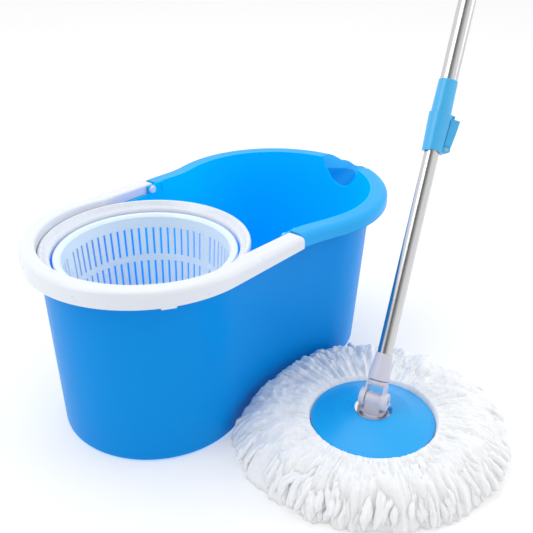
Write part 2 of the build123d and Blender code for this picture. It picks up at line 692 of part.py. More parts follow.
def drive_nut():
    """Nut in the top of the lower tube; its slot follows the twisted bar."""
    nut = rod(INNER_R - TUBE_T, INNER_TOP - 15, INNER_TOP)
    nut += rod(INNER_R, INNER_TOP, INNER_TOP + 2)
    nut += rod(SPIGOT_R, INNER_TOP + 2, INNER_TOP + 2 + BUSH_LEN + 2 * RUB)
    nut -= rod(ROD_W / 2 + 0.7, INNER_TOP - 12, INNER_TOP + 2 * BUSH_LEN)
    slot = Box(ROD_W + 2 * RUB, ROD_T + 1.8, 8)
    slot_z = INNER_TOP - 13.5
    nut -= Pos(0, 0, slot_z) * rod_turn(slot_z) * slot
    return nut


def rod_turn(height):
    """Angle of the twisted bar at a height along the pole."""
    return Rot(0, 0, 360 * (height - ROD_FOOT) / ROD_PITCH)


def screw_rod():
    """Twisted flat bar fixed in the plug at the top of the upper tube."""
    length = OUTER_TOP - CAP_T - ROD_FOOT
    path = Line((0, 0, ROD_FOOT), (0, 0, ROD_FOOT + length))
    guide = Pos(0, 0, ROD_FOOT) * Edge.make_helix(ROD_PITCH, length, ROD_W)
    section = Plane.XY.offset(ROD_FOOT) * Rectangle(ROD_W, ROD_T)
    return sweep(section, path=path, binormal=guide)


def rod_plug():
    """Plug in the upper tube that the twisted bar is fixed in."""
    foot = OUTER_TOP - CAP_T - 14
    plug = rod(OUTER_R - TUBE_T, foot, OUTER_TOP - CAP_T + 3)
    return plug - rod(sqrt(ROD_W**2 + ROD_T**2) / 2 + RUN, foot - 1, OUTER_TOP - CAP_T)


def guide_bush():
    """Bush on the drive nut that guides the upper tube."""
    foot = INNER_TOP + 2 + RUB
    return ring(OUTER_R - TUBE_T - RUN, SPIGOT_R + RUN, foot, foot + BUSH_LEN - RUB)


def outer_tube():
    """Upper steel tube."""
    return ring(OUTER_R, OUTER_R - TUBE_T, OUTER_FOOT, OUTER_TOP)


def collar_ferrule():
    """Plain sleeve above the clamp."""
    body = cone(FERRULE_R, FERRULE_TOP_R, LOCK_TOP, FERRULE_TOP)
    body = fillet(body.edges().group_by(Axis.Z)[-1], 1.0)
    return body - rod(OUTER_R, LOCK_TOP - 1, FERRULE_TOP + 1)


def lock_housing():
    """Clamp body: holds the upper tube and grips the lower one, with two ears for the lever."""
    body = cone(LOCK_FOOT_R, LOCK_R, LOCK_FOOT, LOCK_TOP)
    body = fillet(body.edges().group_by(Axis.Z)[-1], 1.2)
    ear_half = LEVER_W / 2
    ears = block(0, LEVER_PIN_X - 1, -ear_half, ear_half, LEVER_PIN_Z - 5, LEVER_PIN_Z + 2)
    ears += Pos(LEVER_PIN_X, 0, LEVER_PIN_Z) * Rot(90, 0, 0) * Cylinder(LEVER_EYE_R, LEVER_W)
    ears += block(0, LEVER_PIN_X + 2.5, -2, 2, LEVER_TIP_Z + 2 * RUB, LOCK_TOP)
    body += ears
    slot = block(LOCK_FOOT_R - 1.5, 3 * LOCK_R, -EAR_SLOT / 2, EAR_SLOT / 2, LOCK_FOOT - 1, LEVER_TIP_Z + RUB)
    body -= slot - rod(LOCK_FOOT_R - 1.5, LOCK_FOOT - 2, LEVER_TIP_Z + 1)
    body -= Pos(LEVER_PIN_X, 0, LEVER_PIN_Z) * Rot(90, 0, 0) * Cylinder(LEVER_PIN_R, 2 * LEVER_W)
    arch = (LOCK_FOOT_R**2 + ARCH_RISE**2) / (2 * ARCH_RISE)
    body -= Pos(0, 0, LOCK_FOOT + ARCH_RISE - arch) * Rot(90, 0, 0) * Cylinder(arch, 4 * LOCK_R)
    body -= rod(OUTER_R, OUTER_FOOT, LOCK_TOP + 1)
    body -= rod(INNER_R + RUN, LOCK_FOOT - 1, OUTER_FOOT + 1)
    return Rot(0, 0, LEVER_TURN) * body


def lock_pin():
    """Pivot of the lever, pressed in the housing's ears."""
    pin = Rot(90, 0, 0) * Cylinder(LEVER_PIN_R, LEVER_W - 1)
    return Rot(0, 0, LEVER_TURN) * Pos(LEVER_PIN_X, 0, LEVER_PIN_Z) * pin


def lock_lever():
    """Flip lever: a web between the ears with a wide curved thumb plate."""
    x0, z0, z1 = LEVER_PIN_X, LEVER_PIN_Z, LEVER_TIP_Z
    web = Pos(x0, 0, z0) * Rot(90, 0, 0) * Cylinder(LEVER_EYE_R, LEVER_WEB)
    web += block(x0 - 1, x0 + 3, -LEVER_WEB / 2, LEVER_WEB / 2, z0, z1 - 12)
    foot = z0 + 2
    outline = [
        Line((LOCK_FOOT_R - 3, foot), (LOCK_FOOT_R - 3, z1)),
        Line((LOCK_FOOT_R - 3, z1), (LEVER_TIP_X, z1 - 1)),
        ThreePointArc((LEVER_TIP_X, z1 - 1), (LEVER_TIP_X - 1.6, (z0 + z1) / 2 + 2), (x0 + 4, foot)),
        Line((x0 + 4, foot), (LOCK_FOOT_R - 3, foot)),
    ]
    plate = extrude(Plane.XZ * Face(Wire(outline)), amount=LEVER_W / 2, both=True)
    plate -= cone(LOCK_FOOT_R + RUB, LOCK_R + RUB, LOCK_FOOT, LOCK_TOP)
    plate -= Pos(x0, 0, z0) * Rot(90, 0, 0) * Cylinder(LEVER_EYE_R + RUB, LEVER_W + 1)
    lever = web + plate
    lever -= Pos(x0, 0, z0) * Rot(90, 0, 0) * Cylinder(LEVER_PIN_R + RUN, 2 * LEVER_W)
    return Rot(0, 0, LEVER_TURN) * lever


def hand_grip():
    """Grip over the top of the upper tube."""
    body = rod(GRIP_R, GRIP_FOOT, OUTER_TOP - CAP_T)
    body = fillet(body.edges().group_by(Axis.Z)[0], 2.5)
    for k in range(GRIP_RINGS):
        body -= Pos(0, 0, GRIP_FOOT + 18 + 14 * k) * Torus(GRIP_R + 1.2, 2.2)
    return body - rod(OUTER_R, GRIP_FOOT - 1, OUTER_TOP + 1)


def hang_cap():
    """End cap with a hanging hole."""
    foot = OUTER_TOP - CAP_T
    eye = foot + CAP_T + CAP_LEN - 22
    body = rod(GRIP_R, foot, foot + CAP_T + 8)
    body += block(-5, 5, -GRIP_R + 2, GRIP_R - 2, foot + CAP_T + 6, eye)
    body += Pos(0, 0, eye) * Rot(0, 90, 0) * Cylinder(GRIP_R - 2, 10)
    body -= ring(OUTER_R, OUTER_R - TUBE_T, foot - 1, OUTER_TOP)
    body -= rod(OUTER_R - TUBE_T, foot - 1, foot + 3)
    return body - Pos(0, 0, eye) * Rot(0, 90, 0) * Cylinder(HANG_HOLE_R, 4 * CAP_T)


HEAD = Pos(MOP_X, MOP_Y, 0) * Rot(0, 0, LEAN_TURN)
PIN_PLACE = HEAD * Pos(0, 0, PIN_Z)
POLE = PIN_PLACE * Rot(0, LEAN, 0)

AT_BUCKET = [bucket, carry_handle, handle_pivot_pins, basket_collar, spin_basket, basket_hub, basket_spindle,
             spindle_nut, bearing_outer_ring, bearing_inner_ring, bearing_balls, spindle_bush, mop_strands]
ON_HEAD = [mop_plate, strand_ring, joint_cup, joint_base, base_screws]
ON_POLE = [neck_fork, neck_rivet, neck_sleeve, inner_tube, drive_nut, screw_rod, rod_plug, guide_bush,
           outer_tube, collar_ferrule, lock_housing, lock_pin, lock_lever, hand_grip, hang_cap]


def save(maker, place):
    """Builds one sub-part, puts it in place and writes its STEP file."""
    made = maker()
    solids = made if isinstance(made, list) else made.solids()
    placed = [place * solid for solid in solids]
    export_step(placed[0] if len(placed) == 1 else Compound(placed), f"parts/{maker.__name__}.step")


os.makedirs("parts", exist_ok=True)
for maker in AT_BUCKET:
    save(maker, Pos(0, 0, 0))
for maker in ON_HEAD:
    save(maker, HEAD)
save(hinge_pin, PIN_PLACE)
for maker in ON_POLE:
    save(maker, POLE)
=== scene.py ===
"""Spin mop set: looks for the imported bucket, wringing basket and mop, round the fixed frame."""
import json
import math

import bpy
import mathutils.noise
from bpy.props import FloatProperty, FloatVectorProperty, IntProperty, PointerProperty
from mathutils import Euler, Matrix, Vector


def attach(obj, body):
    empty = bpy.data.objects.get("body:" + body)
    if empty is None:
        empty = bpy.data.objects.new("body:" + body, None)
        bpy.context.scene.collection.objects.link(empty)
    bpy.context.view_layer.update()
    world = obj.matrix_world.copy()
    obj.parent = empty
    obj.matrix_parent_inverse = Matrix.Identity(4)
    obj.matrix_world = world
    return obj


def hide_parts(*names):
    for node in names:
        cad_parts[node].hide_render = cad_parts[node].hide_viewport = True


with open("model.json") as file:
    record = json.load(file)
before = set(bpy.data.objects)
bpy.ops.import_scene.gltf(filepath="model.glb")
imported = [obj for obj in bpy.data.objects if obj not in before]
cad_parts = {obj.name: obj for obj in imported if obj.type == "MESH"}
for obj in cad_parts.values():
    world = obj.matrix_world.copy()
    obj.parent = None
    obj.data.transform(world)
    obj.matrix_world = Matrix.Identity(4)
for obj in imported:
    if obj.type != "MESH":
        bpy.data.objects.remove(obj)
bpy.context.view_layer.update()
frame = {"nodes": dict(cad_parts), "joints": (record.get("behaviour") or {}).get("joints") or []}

bl_info = {
    "name": "Spin mop set",
    "version": (1, 0, 0),
    "blender": (4, 5, 0),
    "location": "3D View > Sidebar > Spin mop",
    "description": "Materials, strand head, stage and camera for a spin mop and its bucket",
    "category": "Object",
}

NODES = frame["nodes"]
JOINTS = {joint["name"]: joint for joint in frame["joints"]}
TILT_PIN = Vector(JOINTS["pole_tilt"]["pos_m"])
POLE_AXIS = Vector(JOINTS["bush_spin"]["axis"]).normalized()
TILT_AXIS = Vector(JOINTS["pole_tilt"]["axis"]).normalized()
POLE_SIDE = TILT_AXIS.cross(POLE_AXIS).normalized()
POLE_FRAME = Matrix((POLE_SIDE, TILT_AXIS, POLE_AXIS)).transposed()
HEAD_CENTRE = Vector((TILT_PIN.x, TILT_PIN.y, 0.0))

# plan of the bucket: radii of its two wells at the floor and what they gain up to the rim,
# then the arcs of the waist between them
LOBE_SPACING = 0.258
RIM_TOP = 0.256
RIM_FOOT = 0.2375
WALL = 0.0025
WRING_BASE_R, WRING_FLARE = 0.128, 0.008
WASH_BASE_R, WASH_FLARE = 0.1285, 0.0185
WAIST_R, WAIST_X, WAIST_Y = 0.6, 0.1276, 0.7167
WAIST_SHIFT, WAIST_SPREAD = -0.0302, 0.0128
WAIST_FROM, WAIST_TO = 0.02, 0.225
WALL_SHARE = 0.6            # share of the wall's thickness that belongs to its outer skin
RIM_BLEND = 0.002
# strength of the painted glow on the insides of the wells, in place of light through the thin wall and
# light bounced inside
PAINTED_GLOW_STRENGTH = 0.3

# tone drift of a moulding, as gains of its colour
TONE_LOW, TONE_HIGH = 0.97, 1.03

# strand head
PLATE_EDGE_R = 0.076        # the strands leave the plate here
STRAND_WALL_Y = -0.1355     # plane that keeps the strands off the bucket's wall


# ---- node helpers ------------------------------------------------------------------------------
class Field:
    """A socket of a node tree that takes part in sums, so that a rule reads like one."""

    def __init__(self, tree, socket):
        self.tree = tree
        self.socket = socket

    def math(self, operation, *others):
        node = self.tree.nodes.new("ShaderNodeMath")
        node.operation = operation
        for slot, value in zip(node.inputs, (self, *others)):
            feed(self.tree, slot, value)
        return Field(self.tree, node.outputs[0])

    def __add__(self, other):
        return self.math("ADD", other)

    def __sub__(self, other):
        return self.math("SUBTRACT", other)

    def __mul__(self, other):
        return self.math("MULTIPLY", other)

    def __truediv__(self, other):
        return self.math("DIVIDE", other)

    def __pow__(self, other):
        return self.math("POWER", other)

    def __neg__(self):
        return self.math("MULTIPLY", -1.0)

    def sin(self):
        return self.math("SINE")

    def cos(self):
        return self.math("COSINE")

    def towards(self, target, share):
        """This value moved by a share of the way to the target."""
        return self + (as_field(self, target) - self) * share

    def step(self, low, high):
        """Smooth 0 to 1 as this value goes from low to high."""
        node = self.tree.nodes.new("ShaderNodeMapRange")
        node.interpolation_type = "SMOOTHSTEP"
        feed(self.tree, node.inputs["Value"], self)
        feed(self.tree, node.inputs["From Min"], low)
        feed(self.tree, node.inputs["From Max"], high)
        return Field(self.tree, node.outputs["Result"])


def as_field(like, value):
    """A plain number as a field of the same tree."""
    if isinstance(value, Field):
        return value
    node = like.tree.nodes.new("ShaderNodeValue")
    node.outputs[0].default_value = value
    return Field(like.tree, node.outputs[0])


def feed(tree, slot, value):
    """Links a field into an input, or sets a plain value on it."""
    if isinstance(value, Field):
        tree.links.new(value.socket, slot)
    else:
        slot.default_value = value


def add(tree, kind, result=0, settings=None, **inputs):
    """New node with its settings and inputs; returns one of its outputs as a field."""
    node = tree.nodes.new(kind)
    for name, value in (settings or {}).items():
        setattr(node, name, value)
    for name, value in inputs.items():
        feed(tree, node.inputs[name.replace("_", " ")], value)
    return Field(tree, node.outputs[result])


# ---- materials ---------------------------------------------------------------------------------
def new_material(name):
    """Empty node material with its Principled shader and the object coordinates."""
    material = bpy.data.materials.new(name)
    material.use_nodes = True
    tree = material.node_tree
    shader = tree.nodes["Principled BSDF"]
    where = add(tree, "ShaderNodeTexCoord", "Object")
    return material, tree, shader, where


def noise(tree, where, scale, detail=2.0, roughness=0.5):
    """Noise value of a given scale per metre."""
    return add(tree, "ShaderNodeTexNoise", "Fac", Vector=where, Scale=scale, Detail=detail,
               Roughness=roughness)


def tint(tree, factor, low, high):
    """Colour between two, by a factor from 0 to 1."""
    node = tree.nodes.new("ShaderNodeMix")
    node.data_type = "RGBA"
    feed(tree, node.inputs[0], factor)
    node.inputs[6].default_value = (*low[:3], 1.0)
    node.inputs[7].default_value = (*high[:3], 1.0)
    return Field(tree, node.outputs[2])


def toned(tree, factor, colour, low=TONE_LOW, high=TONE_HIGH):
    """The colour between two gains of itself, by a factor from 0 to 1."""
    return tint(tree, factor, shade(colour, low), shade(colour, high))


def bucket_plastic(colours):
    """The bucket's plastic, with painted light: the insides of the wells get a lighter colour and a painted
    glow, and the top of the rolled rim is painted paler as a painted highlight.
    """
    material = moulded_plastic("bucket_plastic", colours.bucket, 0.34, 1.0, 0.0, gloss=0.08)
    tree = material.node_tree
    shader = tree.nodes["Principled BSDF"]
    outer = Field(tree, shader.inputs["Base Color"].links[0].from_socket)
    where = add(tree, "ShaderNodeTexCoord", "Object")
    drift = noise(tree, where, 9.0, 3.0)
    # painted light: the insides of the wells are painted a lighter blue than the outer wall
    inner_painted_light = toned(tree, drift, colours.bucket_inside_painted_light)
    # painted highlight: the top of the rolled rim is painted paler than the wall
    rim = toned(tree, drift, colours.rim)
    height = height_of(tree, where)
    paint = mixed(tree, height.step(RIM_FOOT, RIM_FOOT + RIM_BLEND), outer, rim)
    # the painted light and the painted glow go on the insides of the wells only
    inside = inside_wells(tree, where)
    paint = mixed(tree, inside, paint, inner_painted_light)
    tree.links.new(paint.socket, shader.inputs["Base Color"])
    shader.inputs["Emission Color"].default_value = (*colours.glow, 1.0)
    feed(tree, shader.inputs["Emission Strength"], inside * PAINTED_GLOW_STRENGTH)
    return material


def height_of(tree, where):
    """Height above the floor."""
    parts = tree.nodes.new("ShaderNodeSeparateXYZ")
    tree.links.new(where.socket, parts.inputs[0])
    return Field(tree, parts.outputs["Z"])


def mixed(tree, factor, low, high):
    """One colour field to another, by a factor from 0 to 1."""
    node = tree.nodes.new("ShaderNodeMix")
    node.data_type = "RGBA"
    feed(tree, node.inputs[0], factor)
    feed(tree, node.inputs[6], low)
    feed(tree, node.inputs[7], high)
    return Field(tree, node.outputs[2])


def inside_wells(tree, where):
    """1 inside the bucket's wells and their waist, 0 in the outer skin of the wall."""
    parts = tree.nodes.new("ShaderNodeSeparateXYZ")
    tree.links.new(where.socket, parts.inputs[0])
    x, y, z = (Field(tree, parts.outputs[axis]) for axis in "XYZ")
    share = z / RIM_TOP
    beside = y.math("ABSOLUTE")

    def beyond(centre_x, centre_y, radius):
        """Distance outside a circle in plan."""
        across, along = x - centre_x, beside - centre_y
        return (across * across + along * along) ** 0.5 - radius

    skin = WALL * WALL_SHARE
    wring = beyond(0.0, 0.0, share * WRING_FLARE + WRING_BASE_R)
    wash = beyond(LOBE_SPACING, 0.0, share * WASH_FLARE + WASH_BASE_R)
    waist = beyond(share * WAIST_SHIFT + WAIST_X, share * WAIST_SPREAD + WAIST_Y, WAIST_R)
    between = x.math("GREATER_THAN", WAIST_FROM) * x.math("LESS_THAN", WAIST_TO)
    in_lobes = wring.math("MINIMUM", wash).math("LESS_THAN", -skin)
    return in_lobes.math("MAXIMUM", waist.math("GREATER_THAN", skin) * between)


def shade(colour, gain):
    """The colour made lighter or darker."""
    return [min(1.0, c * gain) for c in colour[:3]]


def bump(tree, shader, height, depth, strength=1.0):
    """Bump of a depth in metres on the shader's normal."""
    made = add(tree, "ShaderNodeBump", Height=height, Distance=depth, Strength=strength)
    tree.links.new(made.socket, shader.inputs["Normal"])


def moulded_plastic(name, colour, roughness=0.3, grain=1.0, coat=0.15, translucency=0.0, gloss=0.5):
    """Injection-moulded plastic: slight tone drift, fine grain and a soft sink-mark waviness."""
    material, tree, shader, where = new_material(name)
    drift = noise(tree, where, 9.0, 3.0)
    paint = toned(tree, drift, colour)
    tree.links.new(paint.socket, shader.inputs["Base Color"])
    shader.inputs["Specular IOR Level"].default_value = gloss
    polish = noise(tree, where, 55.0, 4.0, 0.6)
    feed(tree, shader.inputs["Roughness"], (polish - 0.5) * 0.16 + roughness)
    skin = noise(tree, where, 1900.0, 2.0) * (0.25 * grain) + noise(tree, where, 24.0, 1.0) * 0.75
    bump(tree, shader, skin, 0.00012, 0.6)
    shader.inputs["Coat Weight"].default_value = coat
    shader.inputs["Coat Roughness"].default_value = 0.18
    shader.inputs["Subsurface Weight"].default_value = translucency
    shader.inputs["Subsurface Scale"].default_value = 0.004
    return material


def drawn_steel(name, colour, roughness, turn, depth=1.0):
    """Polished tube or bar: fine lines along its length and faint cloudy marks."""
    material, tree, shader, where = new_material(name)
    mapping = tree.nodes.new("ShaderNodeMapping")
    tree.links.new(where.socket, mapping.inputs["Vector"])
    mapping.inputs["Rotation"].default_value = turn
    along = Field(tree, mapping.outputs[0])
    stretched = add(tree, "ShaderNodeVectorMath", settings={"operation": "MULTIPLY"})
    tree.links.new(along.socket, stretched.socket.node.inputs[0])
    stretched.socket.node.inputs[1].default_value = (1.0, 1.0, 0.02)
    lines = noise(tree, stretched, 2600.0, 3.0, 0.65)
    clouds = noise(tree, where, 34.0, 4.0, 0.6)
    feed(tree, shader.inputs["Base Color"], toned(tree, lines, colour, 0.9, 1.06))
    shader.inputs["Metallic"].default_value = 1.0
    feed(tree, shader.inputs["Roughness"], (lines - 0.5) * 0.12 + (clouds - 0.5) * 0.1 + roughness)
    bump(tree, shader, lines, 0.00003 * depth, 0.5)
    return material


def turned_metal(name, colour, roughness):
    """Pressed or turned small hardware: fine grain, slightly cloudy."""
    material, tree, shader, where = new_material(name)
    cloud = noise(tree, where, 120.0, 4.0, 0.6)
    feed(tree, shader.inputs["Base Color"], toned(tree, cloud, colour, 0.86, 1.08))
    shader.inputs["Metallic"].default_value = 1.0
    feed(tree, shader.inputs["Roughness"], (cloud - 0.5) * 0.18 + roughness)
    bump(tree, shader, noise(tree, where, 2400.0, 2.0), 0.00002, 0.5)
    return material


def microfibre(name, colour, depth):
    """Looped microfibre: fuzzy bump, soft sheen, and a share of depth that scatters light."""
    material, tree, shader, where = new_material(name)
    fuzz = noise(tree, where, 900.0, 4.0, 0.7)
    lumps = noise(tree, where, 210.0, 3.0, 0.6)
    feed(tree, shader.inputs["Base Color"], toned(tree, lumps, colour, 0.96, 1.03))
    shader.inputs["Roughness"].default_value = 0.95
    shader.inputs["Specular IOR Level"].default_value = 0.1
    shader.inputs["Sheen Weight"].default_value = 0.3
    shader.inputs["Sheen Roughness"].default_value = 0.6
    shader.inputs["Subsurface Weight"].default_value = depth
    shader.inputs["Subsurface Radius"].default_value = (1.0, 1.0, 1.0)
    shader.inputs["Subsurface Scale"].default_value = 0.008
    bump(tree, shader, fuzz * 0.5 + lumps * 0.8, 0.0016, 0.8)
    return material


def dress(material, *names):
    """Puts the material on the named CAD nodes."""
    for name in names:
        node = NODES[name]
        node.data.materials.clear()
        node.data.materials.append(material)


# ---- settings ----------------------------------------------------------------------------------
class SPINMOP_PG_colours(bpy.types.PropertyGroup):
    """Colours of the moulded parts."""

    bucket: FloatVectorProperty(name="Bucket",
                                description="Bucket plastic", subtype="COLOR", size=3,
                                default=(0.0, 0.265, 0.74), min=0.0, max=1.0)
    # painted light: the insides of the wells are painted lighter than the outer wall, as if lit through the
    # wall
    bucket_inside_painted_light: FloatVectorProperty(name="Bucket inside",
                                       description="Inner surface, lit through the wall",
                                       subtype="COLOR", size=3, default=(0.0, 0.48, 1.0), min=0.0, max=1.0)
    # painted glow: an emission on the insides of the wells that stands in for light coming through the thin
    # wall
    glow: FloatVectorProperty(name="Wall glow",
                              description="Light that comes through the bucket's thin wall",
                              subtype="COLOR", size=3, default=(0.0, 0.24, 0.9), min=0.0, max=1.0)
    white: FloatVectorProperty(name="White parts",
                               description="Handle, collar and basket", subtype="COLOR",
                               size=3, default=(0.74, 0.77, 0.835), min=0.0, max=1.0)
    basket: FloatVectorProperty(name="Basket",
                                description="Wringing basket", subtype="COLOR", size=3,
                                default=(0.76, 0.87, 0.96), min=0.0, max=1.0)
    # painted highlight: the rolled rim is painted paler than the wall, for the light on its top
    rim: FloatVectorProperty(name="Rim",
                             description="Rolled rim of the bucket", subtype="COLOR", size=3,
                             default=(0.03, 0.40, 0.86), min=0.0, max=1.0)
    plate: FloatVectorProperty(name="Plate", description="Mop plate", subtype="COLOR", size=3,
                               default=(0.01, 0.37, 0.82), min=0.0, max=1.0)
    clamp: FloatVectorProperty(name="Clamp",
                               description="Height clamp and its lever", subtype="COLOR", size=3,
                               default=(0.05, 0.42, 0.78), min=0.0, max=1.0)
    joint: FloatVectorProperty(name="Joint",
                               description="Tilting joint and sleeve", subtype="COLOR", size=3,
                               default=(0.60, 0.60, 0.70), min=0.0, max=1.0)
    steel: FloatVectorProperty(name="Steel", description="Pole tubes", subtype="COLOR", size=3,
                               default=(0.62, 0.62, 0.63), min=0.0, max=1.0)
    strands: FloatVectorProperty(name="Strands", description="Microfibre", subtype="COLOR", size=3,
                                 default=(0.95, 0.96, 0.985), min=0.0, max=1.0)


class SPINMOP_PG_strands(bpy.types.PropertyGroup):
    """Sizes of the strand head."""

    count: IntProperty(name="Strands", description="Strands in the upper group",
                       default=420, min=20, max=1200)
    points: IntProperty(name="Points", description="Points along one strand",
                        default=26, min=8, max=60)
    thickness: FloatProperty(name="Thickness", description="Radius of one strand",
                             default=0.0042, unit="LENGTH")
    reach: FloatProperty(name="Reach", description="Mean reach of the strands from the middle",
                         default=0.180, unit="LENGTH")
    reach_far: FloatProperty(name="Reach difference",
                             description="Added reach on the side turned to the wash well",
                             default=0.033, unit="LENGTH")
    crest: FloatProperty(name="Crest", description="Height of the upper strands beside the plate",
                         default=0.0545, unit="LENGTH")
    seed: IntProperty(name="Seed", description="Seed of the strands' random values", default=7)


class SPINMOP_PG_stage(bpy.types.PropertyGroup):
    """Floor and lights."""

    floor_size: FloatProperty(name="Floor", description="Side of the floor", default=16.0, unit="LENGTH")
    floor_tone: FloatProperty(name="Floor tone", description="Brightness of the floor",
                              default=0.66, min=0, max=1)
    floor_glow: FloatProperty(name="Floor glow", description="Light the floor gives off itself",
                              default=0.34)
    sky: FloatProperty(name="Surround", description="Strength of the white surround", default=1.04)
    key_power: FloatProperty(name="Key light", description="Power of the main light",
                             default=22.0, unit="POWER")


# ---- strand head -------------------------------------------------------------------------------
STRAND_INPUTS = (
    ("Strands", "NodeSocketInt"), ("Points", "NodeSocketInt"), ("Seed", "NodeSocketInt"),
    ("Top layer", "NodeSocketFloat"), ("Bottom layer", "NodeSocketFloat"), ("Thickness", "NodeSocketFloat"),
    ("Reach", "NodeSocketFloat"), ("Reach difference", "NodeSocketFloat"), ("Crest", "NodeSocketFloat"),
    ("Root radius", "NodeSocketFloat"), ("Wall", "NodeSocketFloat"), ("Material", "NodeSocketMaterial"),
)
# name, first and last layer from 0 at the top to 1, and share of the strand count
STRAND_GROUPS = (
    ("strands_upper", 0.0, 0.1, 1.0),
    ("strands_lower", 0.5, 1.0, 0.6),
)
SEEDS_PER_HEAD = 16.0       # seeds kept apart for one head's random values
ROOT_JITTER = 0.06
LOWER_SHORTER = 0.06        # share of the reach that the lowest layer lacks
REACH_LEAST, REACH_SPREAD = 0.93, 0.09
OUTLINE_WAVE = 0.007
ROOT_STEP = 0.018           # the lowest layer starts this far inside the top one
CREST_SHARE, CREST_FALL, CREST_WAVE = 0.97, 0.8, 0.003
TIP_LIFT = 0.016            # most that a tip stands off the floor
ARCH_LEAST, ARCH_SPREAD = 3.4, 1.2
SWAY, SWAY_JITTER = 0.2, 0.1
WANDER, WANDER_TURN = 0.006, 0.06
CLUMP = 0.007
FLOOR_EASE, WALL_EASE = 0.004, 0.008
BEADS_PER_METRE, BEAD_DEPTH = 520.0, 0.1
ROUND_END = 0.035           # share of a strand that its rounded tip takes
STRAND_SIDES = 6
FLEECE_ROWS = 62
FLEECE_TURNS = 720
FLEECE_LOW = 0.0012
FLEECE_ROOT = 0.05
FLEECE_INNER, FLEECE_START = 0.079, 0.083
FLEECE_CREST = 1.05         # top of the ring as a share of the strands' crest
FLEECE_BEND, FLEECE_FULL = 3.8, 0.7
FLEECE_REACH = 0.99
FLEECE_WAVE = 0.006
RIDGE_HEIGHT, SOFT_HEIGHT = 0.0046, 0.0045
GOLDEN_TURN = math.pi * (3.0 - math.sqrt(5.0))
FAR_SIDE = math.radians(40.0)


def new_geometry_tree(name, inputs):
    """Geometry node tree with named inputs; returns the tree and its inputs as fields."""
    tree = bpy.data.node_groups.new(name, "GeometryNodeTree")
    tree.interface.new_socket("Geometry", in_out="OUTPUT", socket_type="NodeSocketGeometry")
    for label, kind in inputs:
        tree.interface.new_socket(label, in_out="INPUT", socket_type=kind)
    source = tree.nodes.new("NodeGroupInput")
    return tree, {label: Field(tree, source.outputs[label]) for label, kind in inputs}


def finish_geometry_tree(tree, geometry, material):
    """Ends a tree with realised instances and its material."""
    real = add(tree, "GeometryNodeRealizeInstances", Geometry=geometry)
    done = add(tree, "GeometryNodeSetMaterial", Geometry=real, Material=material)
    sink = tree.nodes.new("NodeGroupOutput")
    tree.links.new(done.socket, sink.inputs["Geometry"])


